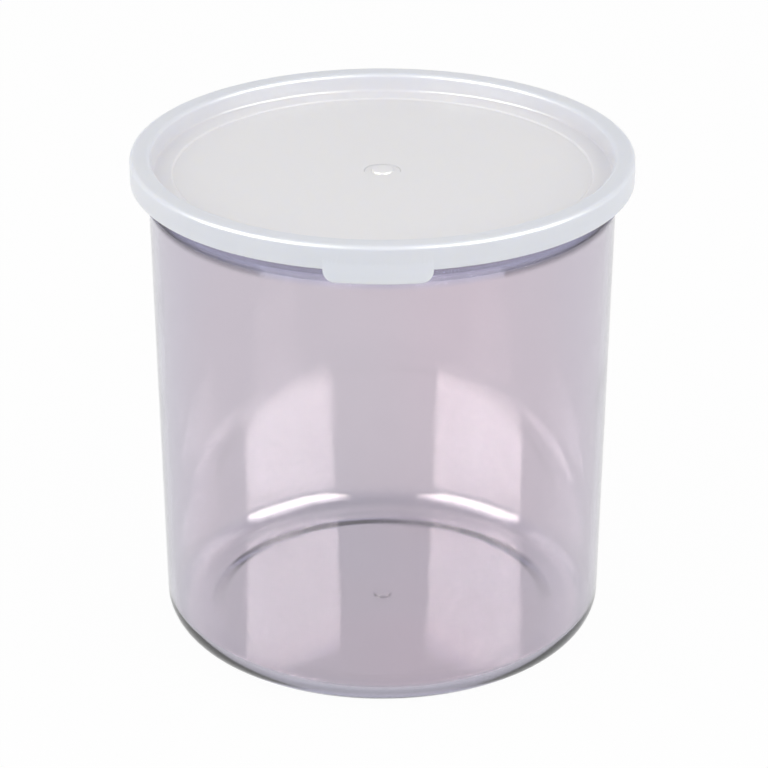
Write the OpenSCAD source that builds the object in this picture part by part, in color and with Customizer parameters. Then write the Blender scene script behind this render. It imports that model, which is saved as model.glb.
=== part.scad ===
// Round clear crock with a push-on lid, for proofing and keeping dough.
// Millimetres, +Z up, origin on the axis in the plane the foot stands on, pull tab towards -Y.

/* [Crock] */
// Height of the crock from its foot to the top of its rim
crock_h = 163.7; // [110:0.2:260]
// Outer diameter of the wall at the foot of the shoulder
wall_d = 151.4; // [110:0.2:240]
// Draft of the wall from the vertical, in degrees
wall_draft = 0.95; // [0.2:0.05:3]
// Thickness of the wall
wall_t = 2.4; // [1.6:0.1:3.4]
// Thickness of the floor
floor_t = 2.4; // [1.6:0.1:5]
// Outer radius where the wall turns into the floor
corner_r = 9.6; // [6:0.1:16]

/* [Foot] */
// Width of the flat ring the crock stands on
foot_w = 5; // [2:0.5:12]
// Depth of the shallow recess inside the foot ring
foot_recess = 0.8; // [0.4:0.1:2]

/* [Rim band] */
// Height of the thick band under the top of the rim
band_h = 10.4; // [9.6:0.1:24]
// How far the band stands out from the wall below it
band_out = 2.65; // [2:0.05:4]
// Thickness of the band
band_t = 2; // [1.6:0.1:3]
// How far the snap bead stands out from the band
bead_out = 0.95; // [0.6:0.05:1.6]
// Height of the snap bead
bead_h = 2.6; // [2:0.1:4]

/* [Lid] */
// Thickness of the lid's crown and panel
lid_t = 1.5; // [1:0.1:2]
// Thickness of the lid's inner wall, which plugs the mouth
plug_t = 1.2; // [0.9:0.1:1.6]
// Thickness of the lid's outer skirt
skirt_t = 1.5; // [1:0.1:2.2]
// Height of the skirt's outside, from its lower edge to the top of the crown
skirt_h = 8.2; // [7.4:0.1:9.5]
// Depth of the outer ring of the panel below the top of the crown
panel_drop = 6.3; // [4:0.1:8]
// Depth of the step that lowers the middle of the panel
panel_step = 0.5; // [0.2:0.1:1]
// Width of the outer ring of the panel, from the inner wall to the step
panel_ring_w = 6.4; // [3:0.1:15]
// Draft of the lid's inner wall, in degrees
plug_draft = 4; // [1:0.5:8]
// Radius of the crown's two upper edges
crown_r = 1.35; // [0.8:0.05:1.8]

/* [Pull tab] */
// Width of the tab
tab_w = 33.5; // [16:0.5:60]
// How far the tab hangs below the skirt
tab_drop = 3.7; // [2:0.1:6]
// How far the tab's lower edge stands out from the skirt
tab_flare = 0.8; // [0:0.1:2]
// Thickness of the tab
tab_t = 1.5; // [1:0.1:2]
// Radius of the tab's two lower corners
tab_corner_r = 3.6; // [1:0.1:5]

/* [Moulding marks] */
// Diameter of the gate mark in the middle of the floor
floor_nib_d = 5.2; // [3:0.2:10]
// Diameter of the gate mark in the middle of the lid
lid_nib_d = 6.4; // [3:0.2:10]
// Diameter of the flat dimple round the lid's gate mark
lid_dimple_d = 11.6; // [11:0.2:20]
// Height of both gate marks
nib_h = 0.35; // [0.2:0.05:0.6]

/* [Fits] */
// Gap between the lid's inner wall and the inside of the rim
plug_gap = 0.3; // [0.2:0.05:0.8]
// Gap between the skirt and the snap bead
skirt_gap = 0.7; // [0.6:0.05:1.2]
// Gap between the lid's catch and the snap bead as they pass
snap_gap = 0.3; // [0.2:0.05:0.5]

/* [Hidden] */
$fn = 128;

// Soft edge on thin walls and the small radii that blend the shoulder and the marks
edge_r = 0.5;
shoulder_r = 1.6;
nib_r = 0.15;

// Crock, from the band inwards and downwards
band_r = wall_d / 2 + band_out;
band_z = crock_h - band_h;
shoulder_z = band_z - band_out;
bead_r = band_r + bead_out;
bead_z = crock_h - bead_h;
mouth_r = band_r - band_t;
ledge_z = band_z + wall_t;
floor_z = foot_recess + floor_t;
corner_in_r = max(corner_r - wall_t, 1);

// Radius of the wall's outside and inside at a height
function wall_r(z) = wall_d / 2 - (shoulder_z - z) * tan(wall_draft);
function wall_in_r(z) = wall_r(z) - wall_t / cos(wall_draft);

// Flat of the foot ring ends where the bottom corner starts to turn up
foot_r = wall_r(0) - corner_r * tan(45 - wall_draft / 2);
recess_r = foot_r - foot_w;

// Lid, seated with the roof of its channel on the rim
roof_z = crock_h;
crown_z = roof_z + lid_t;
skirt_z = crown_z - skirt_h;
skirt_in_r = bead_r + skirt_gap;
skirt_r = skirt_in_r + skirt_t;
catch_r = bead_r + snap_gap;
catch_h = 1.6;
plug_r = mouth_r - plug_gap;
ring_z = crown_z - panel_drop;
panel_z = ring_z - panel_step;
plug_in_r = plug_r - plug_t;
plug_foot_r = plug_in_r - (panel_drop - crown_r) * tan(plug_draft);
plug_low_r = plug_foot_r + plug_t;
step_r = plug_foot_r - panel_ring_w;
tab_z = skirt_z - tab_drop;
tab_r = skirt_r + tab_flare;
tab_root_z = skirt_z + tab_drop * 0.7;

// Point at a distance from p towards q
function along(p, q, d) = p + (q - p) * d / norm(q - p);

// Angle at p between the ways to a and to b
function angle_at(a, p, b) = acos((a - p) * (b - p) / (norm(a - p) * norm(b - p)));

// Closed outline through corners [x, y, radius], counterclockwise, each turned on a true arc
module rounded_outline(corners) {
    n = len(corners);
    p = [for (c = corners) [c[0], c[1]]];
    r = [for (c = corners) c[2]];
    before = [for (i = [0:n - 1]) p[(i + n - 1) % n]];
    after = [for (i = [0:n - 1]) p[(i + 1) % n]];
    half = [for (i = [0:n - 1]) angle_at(before[i], p[i], after[i]) / 2];
    enter = [for (i = [0:n - 1]) along(p[i], before[i], r[i] / tan(half[i]))];
    leave = [for (i = [0:n - 1]) along(p[i], after[i], r[i] / tan(half[i]))];
    convex = [for (i = [0:n - 1]) cross(p[i] - before[i], after[i] - p[i]) > 0];
    chords = [for (i = [0:n - 1]) each r[i] > 0 ? [enter[i], leave[i]] : [p[i]]];
    difference() {
        union() {
            polygon(chords);
            for (i = [0:n - 1])
                if (r[i] > 0 && convex[i])
                    arc_segment(enter[i], p[i], leave[i], r[i], half[i]);
        }
        for (i = [0:n - 1])
            if (r[i] > 0 && !convex[i])
                arc_segment(enter[i], p[i], leave[i], r[i], half[i]);
    }
}

// Slice of a disc between the chord of a rounded corner and its arc, a little deeper than the chord
module arc_segment(enter, p, leave, r, half) {
    middle = (enter + leave) / 2;
    centre = along(p, middle, r / sin(half));
    beyond = centre + (p - centre) * 1.5;
    behind = middle + (centre - middle) * 0.2;
    intersection() {
        translate(centre) circle(r);
        polygon([enter, beyond, leave, behind]);
    }
}

// Section of the crock: foot, outside, rim, inside and floor
module crock_section() {
    rounded_outline([
        [0, foot_recess, 0],
        [recess_r - foot_recess, foot_recess, edge_r],
        [recess_r, 0, edge_r],
        [wall_r(0), 0, corner_r],
        [wall_d / 2, shoulder_z, shoulder_r],
        [band_r, band_z, edge_r],
        [band_r, bead_z - bead_out, edge_r],
        [bead_r, bead_z, edge_r],
        [bead_r, crock_h, bead_out * 0.8],
        [mouth_r, crock_h, edge_r],
        [mouth_r, ledge_z, edge_r],
        [wall_in_r(shoulder_z + wall_t * 0.6), shoulder_z + wall_t * 0.6, shoulder_r],
        [wall_in_r(floor_z), floor_z, corner_in_r],
        [floor_nib_d / 2 + nib_h, floor_z, nib_r],
        [floor_nib_d / 2, floor_z + nib_h, nib_r],
        [0, floor_z + nib_h, 0],
    ]);
}

// Section of the lid: underside, plug, channel, skirt, crown, inner wall and panel
module lid_section() {
    rounded_outline([
        [0, panel_z - lid_t, 0],
        [step_r + panel_step, panel_z - lid_t, edge_r],
        [step_r + 2 * panel_step, ring_z - lid_t, edge_r],
        [plug_low_r, ring_z - lid_t, lid_t],
        [plug_r, roof_z, edge_r],
        [skirt_in_r, roof_z, edge_r],
        [skirt_in_r, skirt_z + catch_h, edge_r],
        [catch_r, skirt_z + catch_h * 0.6, 0.25],
        [catch_r, skirt_z, 0.35],
        [skirt_r, skirt_z, edge_r],
        [skirt_r, crown_z, crown_r],
        [plug_in_r, crown_z, crown_r],
        [plug_foot_r, ring_z, 0.9],
        [step_r, ring_z, edge_r],
        [step_r - panel_step, panel_z, edge_r],
        [lid_dimple_d / 2 + nib_h / 2, panel_z, nib_r],
        [lid_dimple_d / 2, panel_z - nib_h / 2, nib_r / 2],
        [lid_nib_d / 2 + nib_h, panel_z - nib_h / 2, nib_r / 2],
        [lid_nib_d / 2, panel_z + nib_h, nib_r],
        [0, panel_z + nib_h, 0],
    ]);
}

// Section of the pull tab, which leans out from the skirt
module tab_section() {
    rounded_outline([
        [skirt_r - skirt_t * 0.6, tab_root_z, 0],
        [skirt_r - skirt_t * 0.6, skirt_z + edge_r, 0],
        [tab_r - tab_t, tab_z, edge_r],
        [tab_r, tab_z, edge_r],
        [skirt_r, tab_root_z, 0],
    ]);
}

// Front outline of the tab, with its two lower corners rounded
module tab_outline() {
    rounded_outline([
        [-tab_w / 2, tab_z, tab_corner_r],
        [tab_w / 2, tab_z, tab_corner_r],
        [tab_w / 2, tab_root_z + 1, 0],
        [-tab_w / 2, tab_root_z + 1, 0],
    ]);
}

// Tongue that hangs below the skirt at the front, to lift the lid by
module pull_tab() {
    intersection() {
        rotate_extrude() tab_section();
        translate([0, -band_r / 2, 0])
            rotate([90, 0, 0])
                linear_extrude(tab_r)
                    tab_outline();
    }
}

// Straight-walled clear crock with a stepped rim band and a snap bead
module crock() {
    color([0.80, 0.76, 0.79, 0.45])
        rotate_extrude() crock_section();
}

// Milky lid: raised crown over the rim, sunk panel, skirt with a catch, and a pull tab
module lid() {
    color([0.87, 0.87, 0.89, 0.85])
        union() {
            rotate_extrude() lid_section();
            pull_tab();
        }
}

crock();
lid();
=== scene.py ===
"""Round clear crock with a milky push-on lid, dressed round its packed CAD frame."""

import math

import bmesh
import bpy
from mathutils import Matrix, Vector


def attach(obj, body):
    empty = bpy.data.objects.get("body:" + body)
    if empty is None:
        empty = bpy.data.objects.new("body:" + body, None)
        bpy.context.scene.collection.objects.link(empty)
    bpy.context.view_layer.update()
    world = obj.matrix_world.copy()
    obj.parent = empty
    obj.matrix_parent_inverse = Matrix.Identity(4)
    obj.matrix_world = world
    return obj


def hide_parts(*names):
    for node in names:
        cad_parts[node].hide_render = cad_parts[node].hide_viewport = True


bl_info = {
    "name": "Proofing Crock",
    "version": (1, 0, 0),
    "blender": (4, 5, 0),
    "location": "View3D > Sidebar > Proofing Crock",
    "description": "Makes a clear round crock, its milky push-on lid and a studio",
    "category": "Object",
}

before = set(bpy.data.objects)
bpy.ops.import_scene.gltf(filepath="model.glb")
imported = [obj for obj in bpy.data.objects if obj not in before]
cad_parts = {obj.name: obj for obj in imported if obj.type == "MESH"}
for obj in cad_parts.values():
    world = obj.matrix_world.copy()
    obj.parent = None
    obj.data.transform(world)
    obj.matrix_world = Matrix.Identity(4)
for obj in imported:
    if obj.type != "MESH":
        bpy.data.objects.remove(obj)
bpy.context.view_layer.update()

MM = 0.001
# Largest turn of one step on a small arc, and on one over the broad radius
FINE_ARC = math.radians(9)
BROAD_ARC = math.radians(4)
BROAD_RADIUS = 4 * MM
# How far from an arc the points beside it stand
BESIDE_ARC = 0.12 * MM
# Small radius that blends the moulding marks, and height of the lid's catch
MARK_RADIUS = 0.15 * MM
CATCH_HEIGHT = 1.6 * MM
# Where the tab's root starts, as a share of its drop, and how far the tab is sunk
TAB_ROOT_SHARE = 0.7
TAB_SINK = 0.004 * MM

# Light passed by one surface of clear plastic, in shadow and at the see-through rim
SHADOW_TINT = (0.87, 0.86, 0.90, 1.0)
RIM_TINT = (0.86, 0.87, 0.96, 1.0)
# Share of the rim that is plain see-through, and the height over which that fades in
RIM_CLEAR = 0.6
RIM_FADE = 3 * MM
CLEAR_IOR = 1.58
CLEAR_DENSITY = 42.0
MILKY_IOR = 1.5
MILKY_SCATTER = (1.0, 1.05, 1.2)
MILKY_SCATTER_SCALE = 0.002

WHITE = (1.0, 1.0, 1.0, 1.0)
# Half the floor's width, and its hairline gap under the foot
FLOOR_HALF = 4.0
FLOOR_GAP = 0.03 * MM
# Softboxes: distance, size, height above the horizon and turn to each side
SOFTBOX_FAR = 1.25
SOFTBOX_SIZE = (1.25, 1.0)
SOFTBOX_RISE = math.radians(33)
SOFTBOX_SIDE = 58.0
SOFTBOX_TARGET = (0, 0, 0.08)
GLINT_COLOUR = (0.98, 1.0, 0.84, 1.0)
# How far a softbox's bright face stands behind its lamp
FACE_BEHIND = 0.01
INDIRECT_CLAMP = 25.0


# ---------------------------------------------------------------- sizes and colours


def length(name, default_mm, description):
    """A size in metres whose default is given in millimetres."""
    return bpy.props.FloatProperty(
        name=name,
        description=description,
        default=default_mm * MM,
        min=0.0,
        soft_max=0.3,
        precision=5,
        subtype="DISTANCE",
        unit="LENGTH",
    )


def draft(name, default_deg, description):
    """A draft angle whose default is given in degrees."""
    return bpy.props.FloatProperty(
        name=name,
        description=description,
        default=math.radians(default_deg),
        subtype="ANGLE",
        unit="ROTATION",
    )


def colour(name, default, description):
    """A linear colour."""
    return bpy.props.FloatVectorProperty(
        name=name,
        description=description,
        default=default,
        size=len(default),
        min=0.0,
        max=1.0,
        subtype="COLOR",
    )


def share(name, default, description, top=1.0):
    """A plain number from 0 up to top."""
    return bpy.props.FloatProperty(
        name=name, description=description, default=default, min=0.0, max=top
    )


class CrockSizes(bpy.types.PropertyGroup):
    """Sizes of the clear crock."""

    height: length("Height", 163.7, "From the foot to the top of the rim")
    wall_d: length("Wall diameter", 151.4, "Outside, at the foot of the shoulder")
    wall_draft: draft("Wall draft", 0.95, "Lean of the wall from the vertical")
    wall_t: length("Wall thickness", 2.4, "Thickness of the wall")
    floor_t: length("Floor thickness", 2.4, "Thickness of the floor")
    corner_r: length("Corner radius", 9.6, "Outer radius from wall to floor")
    foot_w: length("Foot width", 5.0, "Width of the ring the crock stands on")
    foot_recess: length("Foot recess", 0.8, "Depth of the recess inside the foot")
    band_h: length("Band height", 10.4, "Height of the band under the rim")
    band_out: length("Band overhang", 2.65, "How far the band stands out")
    band_t: length("Band thickness", 2.0, "Thickness of the band")
    bead_out: length("Bead overhang", 0.95, "How far the bead stands out")
    bead_h: length("Bead height", 2.6, "Height of the bead")
    nib_d: length("Gate mark diameter", 5.2, "Mark in the middle of the floor")


class LidSizes(bpy.types.PropertyGroup):
    """Sizes of the milky lid."""

    thickness: length("Thickness", 1.5, "Thickness of the crown and the panel")
    plug_t: length("Inner wall thickness", 1.2, "Wall that plugs the mouth")
    skirt_t: length("Skirt thickness", 1.5, "Thickness of the outer skirt")
    skirt_h: length("Skirt height", 8.2, "Outside height, from lower edge to crown")
    panel_drop: length("Panel depth", 6.3, "Outer ring of the panel below the crown")
    panel_step: length("Panel step", 0.5, "Step that lowers the middle of the panel")
    ring_w: length("Panel ring width", 6.4, "Outer ring of the panel")
    plug_draft: draft("Inner wall draft", 4.0, "Lean of the inner wall")
    crown_r: length("Crown edge radius", 1.35, "Radius of the crown's upper edges")
    nib_d: length("Gate mark diameter", 6.4, "Mark in the middle of the panel")
    dimple_d: length("Dimple diameter", 11.6, "Flat dimple round the gate mark")
    tab_w: length("Tab width", 33.5, "Width of the pull tab")
    tab_drop: length("Tab drop", 3.7, "How far the tab hangs below the skirt")
    tab_flare: length("Tab flare", 0.8, "How far its lower edge stands out")
    tab_t: length("Tab thickness", 1.5, "Thickness of the tab")
    tab_corner_r: length("Tab corner radius", 3.6, "Radius of its lower corners")


class FitSizes(bpy.types.PropertyGroup):
    """Gaps and small radii that both pieces share."""

    plug_gap: length("Plug gap", 0.3, "Between the inner wall and the rim")
    skirt_gap: length("Skirt gap", 0.7, "Between the skirt and the bead")
    catch_gap: length("Catch gap", 0.3, "Between the catch and the bead")
    seat_gap: length("Seat gap", 0.02, "Hairline between the rim and the lid")
    edge_r: length("Edge radius", 0.5, "Soft edge of every thin wall")
    shoulder_r: length("Shoulder radius", 1.6, "Blend of wall and shoulder")
    nib_h: length("Gate mark height", 0.35, "Height of both gate marks")
    steps: bpy.props.IntProperty(
        name="Steps around", description="Faces round the axis", default=384, min=24
    )


class FinishColours(bpy.types.PropertyGroup):
    """Colours of the two plastics."""

    clear: colour(
        "Clear tint", (0.862, 0.812, 0.832), "Share of light one wall lets through"
    )
    clear_pink: colour(
        "Moulding stress, warm", (0.88, 0.805, 0.83), "Warm drift of the tint"
    )
    clear_cyan: colour(
        "Moulding stress, cool", (0.852, 0.816, 0.842), "Cool drift of the tint"
    )
    clear_depth: colour(
        "Clear depth", (0.25, 0.30, 0.65), "Colour that is left in thick places"
    )
    # Painted shade: a darker tint laid over the crock's bottom corner
    corner_painted_shade: colour("Clear corner", (0.52, 0.51, 0.57), "Thick bottom corner")
    milky: colour("Milky panel", (0.865, 0.855, 0.91), "Lid's flat sunk panel")
    # Painted shade: a darker, bluer copy of the panel's plastic for the crown, skirt and
    # tab
    milky_crown_shade: colour(
        "Milky crown", (0.735, 0.76, 0.83), "Lid's crown, skirt and tab"
    )


class StudioSettings(bpy.types.PropertyGroup):
    """Camera, lamps and floor."""

    camera_at: bpy.props.FloatVectorProperty(
        name="Camera place",
        description="Where the camera stands",
        default=(0.0155, -0.9532, 0.5241),
        subtype="TRANSLATION",
        unit="LENGTH",
    )
    camera_tilt: draft("Camera tilt", 24.870, "Down from the horizon")
    camera_swing: draft("Camera swing", 0.93, "Round the axis from the tab's side")
    lens: bpy.props.FloatProperty(
        name="Lens", description="Focal length on a 36 mm sensor", default=147.61
    )
    shift: bpy.props.FloatProperty(
        name="Shift", description="Sideways shift of the picture", default=0.0019
    )
    softbox_level: share("Softbox level", 1.6, "Brightness of the softboxes", 50.0)
    gloss_level: share("Gloss level", 22.5, "Extra brightness in reflections", 50.0)
    world_level: share("World level", 0.504, "Fill light from all round", 5.0)
    floor_colour: colour("Floor colour", (0.92, 0.92, 0.92), "White sweep")
    floor_shade: share("Floor shade", 0.03, "How much of the shadow shows")
    floor_inside: share("Shade inside", 0.40, "How much more shows in the plastic")


# ---------------------------------------------------------------- turned profiles


def turned_profile(corners):
    """Points [radius, height] of a profile whose corners [r, z, radius] are true arcs.

    Each arc has a point just before and just after it, so that smooth shading
    stays flat on the straights between arcs.
    """
    points = []
    last = len(corners) - 1
    for i, (r, z, radius) in enumerate(corners):
        at = Vector((r, z))
        if i in (0, last) or radius <= 0:
            points.append(at)
            continue
        before = (Vector(corners[i - 1][:2]) - at).normalized()
        after = (Vector(corners[i + 1][:2]) - at).normalized()
        half = before.angle(after) / 2
        reach = radius / math.tan(half)
        centre = at + (before + after).normalized() * (radius / math.sin(half))
        start, end = at + before * reach, at + after * reach
        step = BROAD_ARC if radius > BROAD_RADIUS else FINE_ARC
        turn = math.pi - 2 * half
        count = max(3, math.ceil(turn / step))
        first = start - centre
        sense = 1 if first.cross(end - centre) > 0 else -1
        points.append(start + before * BESIDE_ARC)
        for k in range(count + 1):
            a = sense * turn * k / count
            c, s = math.cos(a), math.sin(a)
            points.append(
                centre
                + Vector((first.x * c - first.y * s, first.x * s + first.y * c))
            )
        points.append(end + after * BESIDE_ARC)
    return points


def crock_profile(c, fit):
    """Section of the crock from the axis under the floor, round the wall, to the axis."""
    wall_r = c.wall_d / 2
    shoulder_z = c.height - c.band_h - c.band_out
    lean = math.tan(c.wall_draft)

    def outside(z):
        return wall_r - (shoulder_z - z) * lean

    def inside(z):
        return outside(z) - c.wall_t / math.cos(c.wall_draft)

    band_r = wall_r + c.band_out
    band_z = c.height - c.band_h
    bead_r = band_r + c.bead_out
    bead_z = c.height - c.bead_h
    mouth_r = band_r - c.band_t
    top = c.height - fit.seat_gap
    floor_z = c.foot_recess + c.floor_t
    foot_r = outside(0) - c.corner_r * math.tan(math.pi / 4 - c.wall_draft / 2)
    recess_r = foot_r - c.foot_w
    knee_z = shoulder_z + c.wall_t * 0.6
    nib_r = c.nib_d / 2
    small = MARK_RADIUS
    return turned_profile(
        [
            (0, c.foot_recess, 0),
            # Softer than in the CAD, where it would show as a dark ring on the floor
            (recess_r - 6 * c.foot_recess, c.foot_recess, 8 * fit.edge_r),
            (recess_r, 0, 4 * fit.edge_r),
            (outside(0), 0, c.corner_r),
            (wall_r, shoulder_z, fit.shoulder_r),
            (band_r, band_z, fit.edge_r),
            (band_r, bead_z - c.bead_out, fit.edge_r),
            (bead_r, bead_z, fit.edge_r),
            (bead_r, top, c.bead_out * 0.8),
            (mouth_r, top, fit.edge_r),
            (mouth_r, band_z + c.wall_t, fit.edge_r),
            (inside(knee_z), knee_z, fit.shoulder_r),
            (inside(floor_z), floor_z, c.corner_r - c.wall_t),
            (nib_r + fit.nib_h, floor_z, small),
            (nib_r, floor_z + fit.nib_h, small),
            (0, floor_z + fit.nib_h, 0),
        ]
    )


def lid_places(c, lid, fit):
    """Radii and heights that the lid takes from the crock's rim."""
    band_r = c.wall_d / 2 + c.band_out
    at = {"bead_r": band_r + c.bead_out, "roof_z": c.height}
    at["plug_r"] = band_r - c.band_t - fit.plug_gap
    at["crown_z"] = at["roof_z"] + lid.thickness
    at["skirt_z"] = at["crown_z"] - lid.skirt_h
    at["skirt_in_r"] = at["bead_r"] + fit.skirt_gap
    at["skirt_r"] = at["skirt_in_r"] + lid.skirt_t
    at["ring_z"] = at["crown_z"] - lid.panel_drop
    at["panel_z"] = at["ring_z"] - lid.panel_step
    at["plug_in_r"] = at["plug_r"] - lid.plug_t
    drop = lid.panel_drop - lid.crown_r
    at["plug_foot_r"] = at["plug_in_r"] - drop * math.tan(lid.plug_draft)
    at["step_r"] = at["plug_foot_r"] - lid.ring_w
    return at


def lid_profile(at, lid, fit):
    """Section of the lid: underside, plug, channel, skirt, crown, inner wall, panel."""
    catch_h = CATCH_HEIGHT
    catch_r = at["bead_r"] + fit.catch_gap
    skirt_z, crown_z, roof_z = at["skirt_z"], at["crown_z"], at["roof_z"]
    ring_z, panel_z, step_r = at["ring_z"], at["panel_z"], at["step_r"]
    step, edge = lid.panel_step, fit.edge_r
    nib_r, dimple_r = lid.nib_d / 2, lid.dimple_d / 2
    small = MARK_RADIUS
    return turned_profile(
        [
            (0, panel_z - lid.thickness, 0),
            (step_r + step, panel_z - lid.thickness, edge),
            (step_r + 2 * step, ring_z - lid.thickness, edge),
            (at["plug_foot_r"] + lid.plug_t, ring_z - lid.thickness, lid.thickness),
            (at["plug_r"], roof_z, edge),
            (at["skirt_in_r"], roof_z, edge),
            (at["skirt_in_r"], skirt_z + catch_h, edge),
            (catch_r, skirt_z + catch_h * 0.6, 0.25 * MM),
            (catch_r, skirt_z, 0.35 * MM),
            (at["skirt_r"], skirt_z, edge),
            (at["skirt_r"], crown_z, lid.crown_r),
            (at["plug_in_r"], crown_z, lid.crown_r),
            (at["plug_foot_r"], ring_z, 0.9 * MM),
            (step_r, ring_z, edge),
            (step_r - step, panel_z, edge),
            (dimple_r + fit.nib_h / 2, panel_z, small),
            (dimple_r, panel_z - fit.nib_h / 2, small / 2),
            (nib_r + fit.nib_h, panel_z - fit.nib_h / 2, small / 2),
            (nib_r, panel_z + fit.nib_h, small),
            (0, panel_z + fit.nib_h, 0),
        ]
    )


# ---------------------------------------------------------------- turning by nodes


def turning_tree():
    """Geometry Nodes that turn a profile round the Z axis into a closed solid."""
    name = "Turn profile"
    if name in bpy.data.node_groups:
        return bpy.data.node_groups[name]
    tree = bpy.data.node_groups.new(name, "GeometryNodeTree")
    tree.is_modifier = True
    face = tree.interface

    def socket(label, kind, way="INPUT"):
        return face.new_socket(label, in_out=way, socket_type="NodeSocket" + kind)

    socket("Geometry", "Geometry")
    steps = socket("Steps Around", "Int")
    steps.default_value, steps.min_value = 384, 3
    hub = socket("Hub Radius", "Float")
    hub.default_value, hub.min_value = 0.01, 0.0001
    weld = socket("Pole Weld", "Float")
    weld.default_value, weld.min_value = 1e-6, 0.0
    socket("Plastic", "Material")
    socket("Geometry", "Geometry", "OUTPUT")

    def node(kind, **inputs):
        made = tree.nodes.new(kind)
        for label, value in inputs.items():
            made.inputs[label.replace("_", " ")].default_value = value
        return made

    def join(source, output, target, label):
        tree.links.new(source.outputs[output], target.inputs[label])

    given = node("NodeGroupInput")
    rail = node("GeometryNodeCurvePrimitiveCircle")
    rail.mode = "RADIUS"
    upright = node("GeometryNodeSetCurveNormal")
    upright.mode = "Z_UP"
    outline = node("GeometryNodeMeshToCurve")
    turn = node("GeometryNodeCurveToMesh")
    poles = node("GeometryNodeMergeByDistance")
    smooth = node("GeometryNodeSetShadeSmooth")
    real = node("GeometryNodeRealizeInstances")
    plastic = node("GeometryNodeSetMaterial")
    result = node("NodeGroupOutput")
    join(given, "Steps Around", rail, "Resolution")
    join(given, "Hub Radius", rail, "Radius")
    join(rail, "Curve", upright, "Curve")
    join(given, "Geometry", outline, "Mesh")
    join(upright, "Curve", turn, "Curve")
    join(outline, "Curve", turn, "Profile Curve")
    join(turn, "Mesh", poles, "Geometry")
    join(given, "Pole Weld", poles, "Distance")
    join(poles, "Geometry", smooth, "Geometry")
    join(smooth, "Geometry", real, "Geometry")
    join(real, "Geometry", plastic, "Geometry")
    join(given, "Plastic", plastic, "Material")
    join(plastic, "Geometry", result, "Geometry")
    return tree


def turned_piece(name, profile, steps, material):
    """A piece turned from its profile, as one plain closed mesh at the origin."""
    hub = 0.01
    wire = bpy.data.meshes.new(name + "_profile")
    # The nodes lay a profile's X along the radius and its Y down the axis
    wire.from_pydata(
        [(p.x - hub, -p.y, 0.0) for p in profile],
        [(i, i + 1) for i in range(len(profile) - 1)],
        [],
    )
    maker = bpy.data.objects.new(name + "_maker", wire)
    bpy.context.scene.collection.objects.link(maker)
    tree = turning_tree()
    turning = maker.modifiers.new("Turn", "NODES")
    turning.node_group = tree
    values = {
        "Steps Around": steps,
        "Hub Radius": hub,
        "Pole Weld": 1e-6,
        "Plastic": material,
    }
    for item in tree.interface.items_tree:
        if item.item_type == "SOCKET" and item.name in values:
            turning[item.identifier] = values[item.name]
    piece = plain_copy(maker, name)
    bpy.data.objects.remove(maker)
    bpy.data.meshes.remove(wire)
    face_outwards(piece.data)
    return piece


def plain_copy(source, name):
    """A new object with the evaluated mesh of source, linked to the scene."""
    depsgraph = bpy.context.evaluated_depsgraph_get()
    mesh = bpy.data.meshes.new_from_object(source.evaluated_get(depsgraph))
    mesh.name = name
    piece = bpy.data.objects.new(name, mesh)
    bpy.context.scene.collection.objects.link(piece)
    return piece


def face_outwards(mesh):
    """Turns every face of a closed mesh outwards."""
    work = bmesh.new()
    work.from_mesh(mesh)
    if work.calc_volume(signed=True) < 0:
        bmesh.ops.reverse_faces(work, faces=work.faces)
    open_edges = sum(1 for e in work.edges if len(e.link_faces) != 2)
    work.to_mesh(mesh)
    work.free()
    if open_edges:
        raise RuntimeError(f"{mesh.name} has {open_edges} open edges")


# ---------------------------------------------------------------- pull tab


def tab_blank(at, lid, fit):
    """The pull tab as a curved, flared plate with soft edges, sunk into the skirt."""
    skirt_z, skirt_r = at["skirt_z"], at["skirt_r"]
    low_z = skirt_z - lid.tab_drop
    root_z = skirt_z + lid.tab_drop * TAB_ROOT_SHARE
    half_w, corner = lid.tab_w / 2, lid.tab_corner_r
    columns, rows = 72, 10
    work = bmesh.new()

    def lower_edge(x):
        over = abs(x) - (half_w - corner)
        if over <= 0:
            return low_z
        return low_z + corner - math.sqrt(max(corner * corner - over * over, 0.0))

    def spread(j):
        # Closer columns near the corners
        t = -1 + 2 * j / columns
        return half_w * math.sin(t * math.pi / 2)

    sheets = []
    for depth in (0.0, lid.tab_t):
        sheet = []
        for j in range(columns + 1):
            x = spread(j)
            foot = lower_edge(x)
            line = []
            for k in range(rows + 1):
                z = root_z + (foot - root_z) * k / rows
                lean = lid.tab_flare * (root_z - z) / (root_z - low_z)
                r = skirt_r + lean - depth - TAB_SINK
                line.append(work.verts.new((x, -math.sqrt(r * r - x * x), z)))
            sheet.append(line)
        sheets.append(sheet)
    outer, inner = sheets
    for j in range(columns):
        for k in range(rows):
            work.faces.new(
                (outer[j][k], outer[j][k + 1], outer[j + 1][k + 1], outer[j + 1][k])
            )
            work.faces.new(
                (inner[j][k], inner[j + 1][k], inner[j + 1][k + 1], inner[j][k + 1])
            )
        for k in (0, rows):
            quad = (outer[j][k], outer[j + 1][k], inner[j + 1][k], inner[j][k])
            work.faces.new(quad if k == 0 else quad[::-1])
    for j in (0, columns):
        for k in range(rows):
            quad = (outer[j][k], inner[j][k], inner[j][k + 1], outer[j][k + 1])
            work.faces.new(quad if j == 0 else quad[::-1])
    bmesh.ops.recalc_face_normals(work, faces=work.faces)
    mesh = bpy.data.meshes.new("tab_blank")
    work.to_mesh(mesh)
    work.free()
    blank = bpy.data.objects.new("tab_blank", mesh)
    bpy.context.scene.collection.objects.link(blank)
    soft = blank.modifiers.new("Soft edge", "BEVEL")
    soft.width, soft.segments = fit.edge_r * 0.8, 4
    soft.limit_method, soft.angle_limit = "ANGLE", math.radians(50)
    return blank


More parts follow.
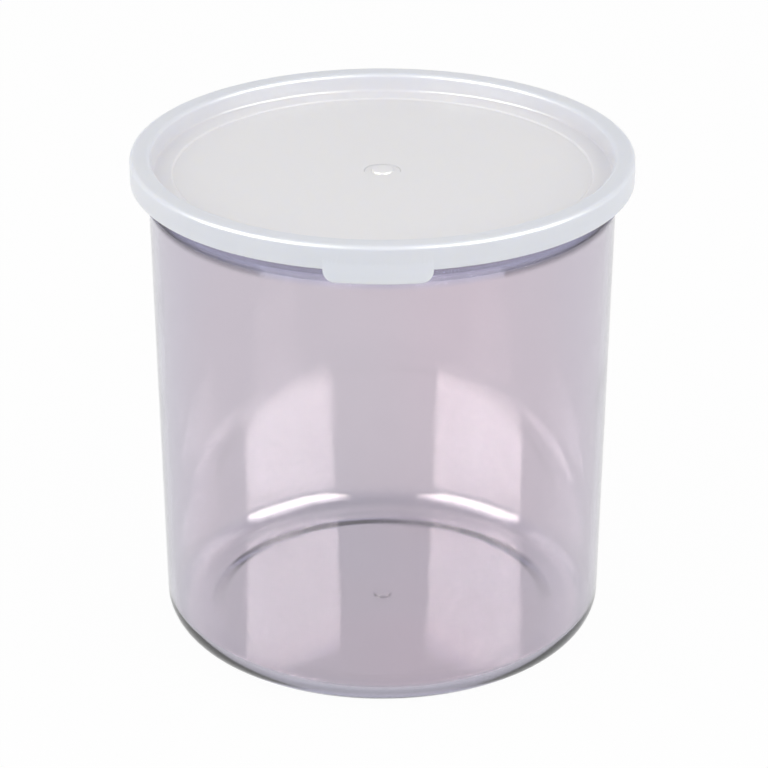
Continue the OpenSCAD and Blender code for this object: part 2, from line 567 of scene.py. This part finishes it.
def join_tab(lid_piece, blank):
    """Joins the tab to the lid as one closed solid."""
    union = lid_piece.modifiers.new("Join tab", "BOOLEAN")
    union.operation, union.solver, union.object = "UNION", "MANIFOLD", blank
    name = lid_piece.name
    joined = plain_copy(lid_piece, name + "_joined")
    for spare in (lid_piece, blank):
        mesh = spare.data
        bpy.data.objects.remove(spare)
        bpy.data.meshes.remove(mesh)
    joined.name = joined.data.name = name
    work = bmesh.new()
    work.from_mesh(joined.data)
    bmesh.ops.remove_doubles(work, verts=work.verts, dist=1e-7)
    for face in work.faces:
        face.smooth = True
    work.to_mesh(joined.data)
    work.free()
    joined.data.set_sharp_from_angle(angle=math.radians(40))
    return joined


# ---------------------------------------------------------------- plastics


def shader_group(name, inputs, outputs, build):
    """A shader node group with named sockets, built once."""
    if name in bpy.data.node_groups:
        return bpy.data.node_groups[name]
    tree = bpy.data.node_groups.new(name, "ShaderNodeTree")
    for label, kind, value in inputs:
        made = tree.interface.new_socket(
            label, in_out="INPUT", socket_type="NodeSocket" + kind
        )
        made.default_value = value
    for label, kind in outputs:
        tree.interface.new_socket(
            label, in_out="OUTPUT", socket_type="NodeSocket" + kind
        )
    build(tree)
    return tree


def noise(tree, source, scale, detail=2.0, stretch=(1, 1, 1)):
    """A noise texture over object coordinates, stretched by a Mapping node."""
    place = tree.nodes.new("ShaderNodeMapping")
    place.inputs["Scale"].default_value = stretch
    tree.links.new(source, place.inputs["Vector"])
    texture = tree.nodes.new("ShaderNodeTexNoise")
    texture.inputs["Scale"].default_value = scale
    texture.inputs["Detail"].default_value = detail
    tree.links.new(place.outputs["Vector"], texture.inputs["Vector"])
    return texture.outputs["Fac"]


def math_node(tree, operation, a, b=None, clamp=False):
    """A Math node whose inputs are sockets or numbers."""
    made = tree.nodes.new("ShaderNodeMath")
    made.operation, made.use_clamp = operation, clamp
    for i, value in enumerate((a, b)):
        if value is None:
            continue
        if isinstance(value, (int, float)):
            made.inputs[i].default_value = value
        else:
            tree.links.new(value, made.inputs[i])
    return made.outputs[0]


def ramp(tree, source, low, high, start=0.0, end=1.0):
    """Maps source from low..high to start..end, smoothly and clamped."""
    made = tree.nodes.new("ShaderNodeMapRange")
    made.interpolation_type = "SMOOTHSTEP"
    for label, value in (
        ("From Min", low),
        ("From Max", high),
        ("To Min", start),
        ("To Max", end),
    ):
        made.inputs[label].default_value = value
    tree.links.new(source, made.inputs["Value"])
    return made.outputs["Result"]


def distance_from_axis(tree, split):
    """Distance from the object's axis, from the X and Y of a split place."""
    squares = math_node(
        tree,
        "ADD",
        math_node(tree, "POWER", split.outputs["X"], 2.0),
        math_node(tree, "POWER", split.outputs["Y"], 2.0),
    )
    return math_node(tree, "SQRT", squares)


def blend_colours(tree, share_socket, first, second):
    """A colour mix of two colours or sockets."""
    made = tree.nodes.new("ShaderNodeMix")
    made.data_type = "RGBA"
    tree.links.new(share_socket, made.inputs[0])
    for i, value in ((6, first), (7, second)):
        if isinstance(value, bpy.types.NodeSocket):
            tree.links.new(value, made.inputs[i])
        else:
            made.inputs[i].default_value = (*value[:3], 1.0)
    return made.outputs[2]


def object_place(tree):
    """Object coordinates."""
    return tree.nodes.new("ShaderNodeTexCoord").outputs["Object"]


def handling_marks(tree):
    """Fills the group with fine scuffs and smudges of handled plastic."""
    given = tree.nodes.new("NodeGroupInput")
    result = tree.nodes.new("NodeGroupOutput")
    place = object_place(tree)
    smudge = noise(tree, place, 38.0, 3.0)
    scuff = noise(tree, place, 420.0, 4.0, (1, 1, 0.25))
    cloud = ramp(tree, smudge, 0.42, 0.72)
    grain = ramp(tree, scuff, 0.55, 0.80)
    worn = math_node(tree, "MULTIPLY", cloud, given.outputs["Smudge"])
    fine = math_node(tree, "MULTIPLY", grain, given.outputs["Scuff"])
    total = math_node(tree, "ADD", worn, fine)
    rough = math_node(tree, "ADD", total, given.outputs["Roughness"], clamp=True)
    tree.links.new(rough, result.inputs["Roughness"])
    wave = noise(tree, place, 22.0, 2.0, (1, 1, 0.4))
    height = math_node(tree, "MULTIPLY", wave, given.outputs["Wave"])
    tiny = math_node(tree, "MULTIPLY", scuff, given.outputs["Grain"])
    tree.links.new(math_node(tree, "ADD", height, tiny), result.inputs["Height"])


def handling_group():
    """Shader group for handled plastic, shared by the crock and the lid."""
    return shader_group(
        "Handled plastic",
        [
            ("Roughness", "Float", 0.05),
            ("Smudge", "Float", 0.05),
            ("Scuff", "Float", 0.05),
            ("Wave", "Float", 1.0),
            ("Grain", "Float", 0.1),
        ],
        [("Roughness", "Float"), ("Height", "Float")],
        handling_marks,
    )


def new_material(name):
    """An empty node material with its output node."""
    made = bpy.data.materials.new(name)
    made.use_nodes = True
    made.node_tree.nodes.clear()
    return made, made.node_tree, made.node_tree.nodes.new("ShaderNodeOutputMaterial")


def handled(tree, roughness, smudge, scuff, wave, grain, depth):
    """Places the shared group and returns its roughness and bumped normal."""
    group = tree.nodes.new("ShaderNodeGroup")
    group.node_tree = handling_group()
    for label, value in (
        ("Roughness", roughness),
        ("Smudge", smudge),
        ("Scuff", scuff),
        ("Wave", wave),
        ("Grain", grain),
    ):
        group.inputs[label].default_value = value
    bump = tree.nodes.new("ShaderNodeBump")
    bump.inputs["Strength"].default_value = 1.0
    bump.inputs["Distance"].default_value = depth
    tree.links.new(group.outputs["Height"], bump.inputs["Height"])
    return group.outputs["Roughness"], bump.outputs["Normal"]


def clear_plastic(finish, shoulder_z, corner_start, corner_r):
    """Clear moulded plastic: faint mauve, cooler in the depth, with moulding stress.

    Its bottom corner, corner_r high, has painted shade: it is tinted darker from the
    radius corner_start out. From shoulder_z up it is partly plain see-through, because
    the thick rim renders almost black under the skirt when all of it bends light.
    """
    made, tree, output = new_material("Clear moulded plastic")
    place = object_place(tree)
    drift = noise(tree, place, 9.0, 1.0, (1, 1, 0.35))
    warm = blend_colours(
        tree, ramp(tree, drift, 0.52, 0.68), finish.clear, finish.clear_pink
    )
    tint = blend_colours(
        tree, ramp(tree, drift, 0.48, 0.34), warm, finish.clear_cyan
    )
    split = tree.nodes.new("ShaderNodeSeparateXYZ")
    tree.links.new(place, split.inputs[0])
    # Painted shade: this mask darkens the bottom corner from corner_start outwards and
    # fades it out going up
    corner = math_node(
        tree,
        "MULTIPLY",
        ramp(
            tree,
            distance_from_axis(tree, split),
            corner_start,
            corner_start + 0.5 * corner_r,
        ),
        ramp(tree, split.outputs["Z"], 0.0, corner_r, 1.0, 0.0),
    )
    tint = blend_colours(tree, corner, tint, finish.corner_painted_shade)
    shell = tree.nodes.new("ShaderNodeBsdfPrincipled")
    tree.links.new(tint, shell.inputs["Base Color"])
    rough, normal = handled(
        tree, roughness=0.03, smudge=0.06, scuff=0.04, wave=1.0, grain=0.05, depth=0.00003
    )
    tree.links.new(rough, shell.inputs["Roughness"])
    tree.links.new(normal, shell.inputs["Normal"])
    shell.inputs["IOR"].default_value = CLEAR_IOR
    shell.inputs["Transmission Weight"].default_value = 1.0
    let_by = tree.nodes.new("ShaderNodeBsdfTransparent")
    let_by.inputs["Color"].default_value = SHADOW_TINT
    band = tree.nodes.new("ShaderNodeBsdfTransparent")
    band.inputs["Color"].default_value = RIM_TINT
    clear_rim = ramp(
        tree, split.outputs["Z"], shoulder_z - RIM_FADE, shoulder_z, 0.0, RIM_CLEAR
    )
    rimmed = tree.nodes.new("ShaderNodeMixShader")
    tree.links.new(clear_rim, rimmed.inputs[0])
    tree.links.new(shell.outputs[0], rimmed.inputs[1])
    tree.links.new(band.outputs[0], rimmed.inputs[2])
    path = tree.nodes.new("ShaderNodeLightPath")
    surface = tree.nodes.new("ShaderNodeMixShader")
    tree.links.new(path.outputs["Is Shadow Ray"], surface.inputs[0])
    tree.links.new(rimmed.outputs[0], surface.inputs[1])
    tree.links.new(let_by.outputs[0], surface.inputs[2])
    tree.links.new(surface.outputs[0], output.inputs["Surface"])
    body = tree.nodes.new("ShaderNodeVolumeAbsorption")
    body.inputs["Color"].default_value = (*finish.clear_depth, 1.0)
    body.inputs["Density"].default_value = CLEAR_DENSITY
    tree.links.new(body.outputs[0], output.inputs["Volume"])
    return made


def milky_plastic(finish, at):
    """Milky, satin plastic that scatters light, with painted shade: darker and cooler
    where the lid rides the rim.
    """
    made, tree, output = new_material("Milky satin plastic")
    place = object_place(tree)
    split = tree.nodes.new("ShaderNodeSeparateXYZ")
    tree.links.new(place, split.inputs[0])
    across = distance_from_axis(tree, split)
    # Painted shade: outwards from the inner wall's foot the lid takes the darker, cooler
    # colour, broken up by cloudy noise
    rim = ramp(tree, across, at["plug_foot_r"] - 0.6 * MM, at["plug_foot_r"] + 0.8 * MM)
    cloud = noise(tree, place, 14.0, 2.0)
    cool = math_node(
        tree, "MULTIPLY", rim, ramp(tree, cloud, 0.2, 0.8, 0.7, 1.0)
    )
    tone = blend_colours(tree, cool, finish.milky, finish.milky_crown_shade)
    body = tree.nodes.new("ShaderNodeBsdfPrincipled")
    tree.links.new(tone, body.inputs["Base Color"])
    rough, normal = handled(
        tree, roughness=0.30, smudge=0.08, scuff=0.06, wave=1.0, grain=0.06, depth=0.00002
    )
    tree.links.new(rough, body.inputs["Roughness"])
    tree.links.new(normal, body.inputs["Normal"])
    body.inputs["IOR"].default_value = MILKY_IOR
    body.inputs["Subsurface Weight"].default_value = 1.0
    body.inputs["Subsurface Radius"].default_value = MILKY_SCATTER
    body.inputs["Subsurface Scale"].default_value = MILKY_SCATTER_SCALE
    tree.links.new(body.outputs[0], output.inputs["Surface"])
    return made


# ---------------------------------------------------------------- stage


def looking_rays(tree, path):
    """1 for rays that look at the background: camera, glossy and transmission rays."""
    through = math_node(
        tree,
        "MAXIMUM",
        path.outputs["Is Glossy Ray"],
        path.outputs["Is Transmission Ray"],
    )
    return math_node(tree, "MAXIMUM", path.outputs["Is Camera Ray"], through)


def white_sweep(studio):
    """White floor: plain white to the camera and in the plastic, with a faint shadow."""
    made, tree, output = new_material("White sweep")
    paper = tree.nodes.new("ShaderNodeBsdfDiffuse")
    place = object_place(tree)
    fibre = noise(tree, place, 260.0, 4.0)
    tone = blend_colours(
        tree,
        ramp(tree, fibre, 0.3, 0.7),
        studio.floor_colour,
        [c * 0.985 for c in studio.floor_colour],
    )
    tree.links.new(tone, paper.inputs["Color"])
    glow = tree.nodes.new("ShaderNodeEmission")
    glow.inputs["Strength"].default_value = 1.0
    path = tree.nodes.new("ShaderNodeLightPath")
    seen = looking_rays(tree, path)
    # Seen through the plastic, the paper under the foot keeps more of its shadow
    inside = math_node(
        tree, "MULTIPLY", path.outputs["Is Transmission Ray"], studio.floor_inside
    )
    share_seen = math_node(
        tree,
        "SUBTRACT",
        math_node(tree, "MULTIPLY", seen, 1.0 - studio.floor_shade),
        inside,
    )
    mixed = tree.nodes.new("ShaderNodeMixShader")
    tree.links.new(share_seen, mixed.inputs[0])
    tree.links.new(paper.outputs[0], mixed.inputs[1])
    tree.links.new(glow.outputs[0], mixed.inputs[2])
    tree.links.new(mixed.outputs[0], output.inputs["Surface"])
    return made


def make_floor(studio):
    """A wide white floor just under the foot."""
    half, z = FLOOR_HALF, -FLOOR_GAP
    mesh = bpy.data.meshes.new("sweep")
    mesh.from_pydata(
        [(-half, -half, z), (half, -half, z), (half, half, z), (-half, half, z)],
        [],
        [(0, 1, 2, 3)],
    )
    mesh.materials.append(white_sweep(studio))
    floor = bpy.data.objects.new("sweep", mesh)
    bpy.context.scene.collection.objects.link(floor)


def make_world(studio):
    """Even fill light, plain white to the camera and in the plastic."""
    world = bpy.data.worlds.new("White room")
    bpy.context.scene.world = world
    world.use_nodes = True
    tree = world.node_tree
    tree.nodes.clear()
    output = tree.nodes.new("ShaderNodeOutputWorld")
    fill = tree.nodes.new("ShaderNodeBackground")
    fill.inputs["Color"].default_value = WHITE
    path = tree.nodes.new("ShaderNodeLightPath")
    seen = looking_rays(tree, path)
    level = ramp(tree, seen, 0.0, 1.0, studio.world_level, 1.0)
    tree.links.new(level, fill.inputs["Strength"])
    tree.links.new(fill.outputs[0], output.inputs["Surface"])


def aimed(place, target):
    """Rotation that turns a lamp or camera at place towards target."""
    return (Vector(target) - Vector(place)).to_track_quat("-Z", "Y").to_euler()


def softbox_place(azimuth):
    """Where a softbox stands, to one side of the camera, and the point it faces."""
    target = Vector(SOFTBOX_TARGET)
    a, high = math.radians(azimuth), SOFTBOX_RISE
    way = Vector(
        (math.sin(a) * math.cos(high), -math.cos(a) * math.cos(high), math.sin(high))
    )
    return target + SOFTBOX_FAR * way, target


def softbox_lamp(name, azimuth, level):
    """The lamp of a softbox, which lights the piece at a plain level."""
    place, target = softbox_place(azimuth)
    lamp = bpy.data.lights.new(name, "AREA")
    lamp.shape = "RECTANGLE"
    lamp.size, lamp.size_y = SOFTBOX_SIZE
    lamp.energy = level * math.pi * lamp.size * lamp.size_y
    box = bpy.data.objects.new(name, lamp)
    box.location = place
    box.rotation_euler = aimed(place, target)
    box.visible_camera = False
    bpy.context.scene.collection.objects.link(box)


def softbox_face(name, azimuth, level):
    """The bright face of a softbox, which only shows in gloss and through plastic."""
    place, target = softbox_place(azimuth)
    turn = aimed(place, target).to_matrix()
    half_w, half_h = SOFTBOX_SIZE[0] / 2, SOFTBOX_SIZE[1] / 2
    corners = (
        (-half_w, -half_h),
        (half_w, -half_h),
        (half_w, half_h),
        (-half_w, half_h),
    )
    mesh = bpy.data.meshes.new(name)
    mesh.from_pydata(
        [place + turn @ Vector((x, y, FACE_BEHIND)) for x, y in corners],
        [],
        [(0, 1, 2, 3)],
    )
    made, tree, output = new_material(name)
    glow = tree.nodes.new("ShaderNodeEmission")
    glow.inputs["Color"].default_value = GLINT_COLOUR
    glow.inputs["Strength"].default_value = level
    tree.links.new(glow.outputs[0], output.inputs["Surface"])
    mesh.materials.append(made)
    face = bpy.data.objects.new(name, mesh)
    for kind in ("camera", "diffuse", "shadow", "volume_scatter"):
        setattr(face, "visible_" + kind, False)
    bpy.context.scene.collection.objects.link(face)


def make_camera(studio):
    """The photograph's camera."""
    lens = bpy.data.cameras.new("Camera")
    lens.sensor_width = 36.0
    lens.lens = studio.lens
    lens.shift_x = studio.shift
    lens.clip_start, lens.clip_end = 0.05, 50.0
    camera = bpy.data.objects.new("Camera", lens)
    camera.location = studio.camera_at
    camera.rotation_euler = (
        math.pi / 2 - studio.camera_tilt,
        0.0,
        studio.camera_swing,
    )
    bpy.context.scene.collection.objects.link(camera)
    bpy.context.scene.camera = camera


# ---------------------------------------------------------------- operators


class CROCK_OT_studio(bpy.types.Operator):
    """Make the camera, the softboxes, the white room and the floor"""

    bl_idname = "proofing_crock.studio"
    bl_label = "Make Studio"

    def execute(self, context):
        scene = context.scene
        studio = scene.crock_studio
        scene.view_settings.view_transform = "Standard"
        # Without this the bright faces light the paper under the crock too much
        scene.cycles.caustics_refractive = False
        scene.cycles.caustics_reflective = False
        scene.cycles.sample_clamp_indirect = INDIRECT_CLAMP
        make_camera(studio)
        make_world(studio)
        make_floor(studio)
        for side, azimuth in (("left", -SOFTBOX_SIDE), ("right", SOFTBOX_SIDE)):
            softbox_lamp("softbox_" + side, azimuth, studio.softbox_level)
            softbox_face("softbox_face_" + side, azimuth, studio.gloss_level)
        return {"FINISHED"}


class CROCK_OT_clear_crock(bpy.types.Operator):
    """Make the clear crock with its stepped rim band and bead"""

    bl_idname = "proofing_crock.clear_crock"
    bl_label = "Make Clear Crock"

    def execute(self, context):
        scene = context.scene
        fit = scene.fit_sizes
        profile = crock_profile(scene.crock_sizes, fit)
        crock = scene.crock_sizes
        plastic = clear_plastic(
            scene.finish_colours,
            crock.height - crock.band_h - crock.band_out,
            crock.wall_d / 2 - crock.corner_r,
            crock.corner_r,
        )
        piece = turned_piece("clear_crock", profile, fit.steps, plastic)
        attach(piece, "crock")
        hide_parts("crock")
        return {"FINISHED"}


class CROCK_OT_milky_lid(bpy.types.Operator):
    """Make the milky lid with its crown, skirt and pull tab"""

    bl_idname = "proofing_crock.milky_lid"
    bl_label = "Make Milky Lid"

    def execute(self, context):
        scene = context.scene
        lid, fit = scene.lid_sizes, scene.fit_sizes
        at = lid_places(scene.crock_sizes, lid, fit)
        plastic = milky_plastic(scene.finish_colours, at)
        turned = turned_piece("milky_lid", lid_profile(at, lid, fit), fit.steps, plastic)
        piece = join_tab(turned, tab_blank(at, lid, fit))
        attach(piece, "lid")
        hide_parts("lid")
        return {"FINISHED"}


class CROCK_PT_sidebar(bpy.types.Panel):
    """Sizes, colours and makers of the proofing crock"""

    bl_idname = "CROCK_PT_sidebar"
    bl_label = "Proofing Crock"
    bl_space_type = "VIEW_3D"
    bl_region_type = "UI"
    bl_category = "Proofing Crock"

    def draw(self, context):
        layout = self.layout
        for name, group in SETTINGS.items():
            box = layout.box()
            box.label(text=group.__doc__)
            settings = getattr(context.scene, name)
            for key in group.__annotations__:
                box.prop(settings, key)
        for operator in OPERATORS:
            layout.operator(operator.bl_idname)


SETTINGS = {
    "crock_sizes": CrockSizes,
    "lid_sizes": LidSizes,
    "fit_sizes": FitSizes,
    "finish_colours": FinishColours,
    "crock_studio": StudioSettings,
}
OPERATORS = (CROCK_OT_studio, CROCK_OT_clear_crock, CROCK_OT_milky_lid)


def register():
    for made in (*SETTINGS.values(), *OPERATORS, CROCK_PT_sidebar):
        bpy.utils.register_class(made)
    for name, group in SETTINGS.items():
        setattr(bpy.types.Scene, name, bpy.props.PointerProperty(type=group))


def unregister():
    for name in SETTINGS:
        delattr(bpy.types.Scene, name)
    for made in reversed((*SETTINGS.values(), *OPERATORS, CROCK_PT_sidebar)):
        bpy.utils.unregister_class(made)


def main():
    register()
    bpy.ops.proofing_crock.studio()
    bpy.ops.proofing_crock.clear_crock()
    bpy.ops.proofing_crock.milky_lid()


if __name__ == "__main__":
    main()
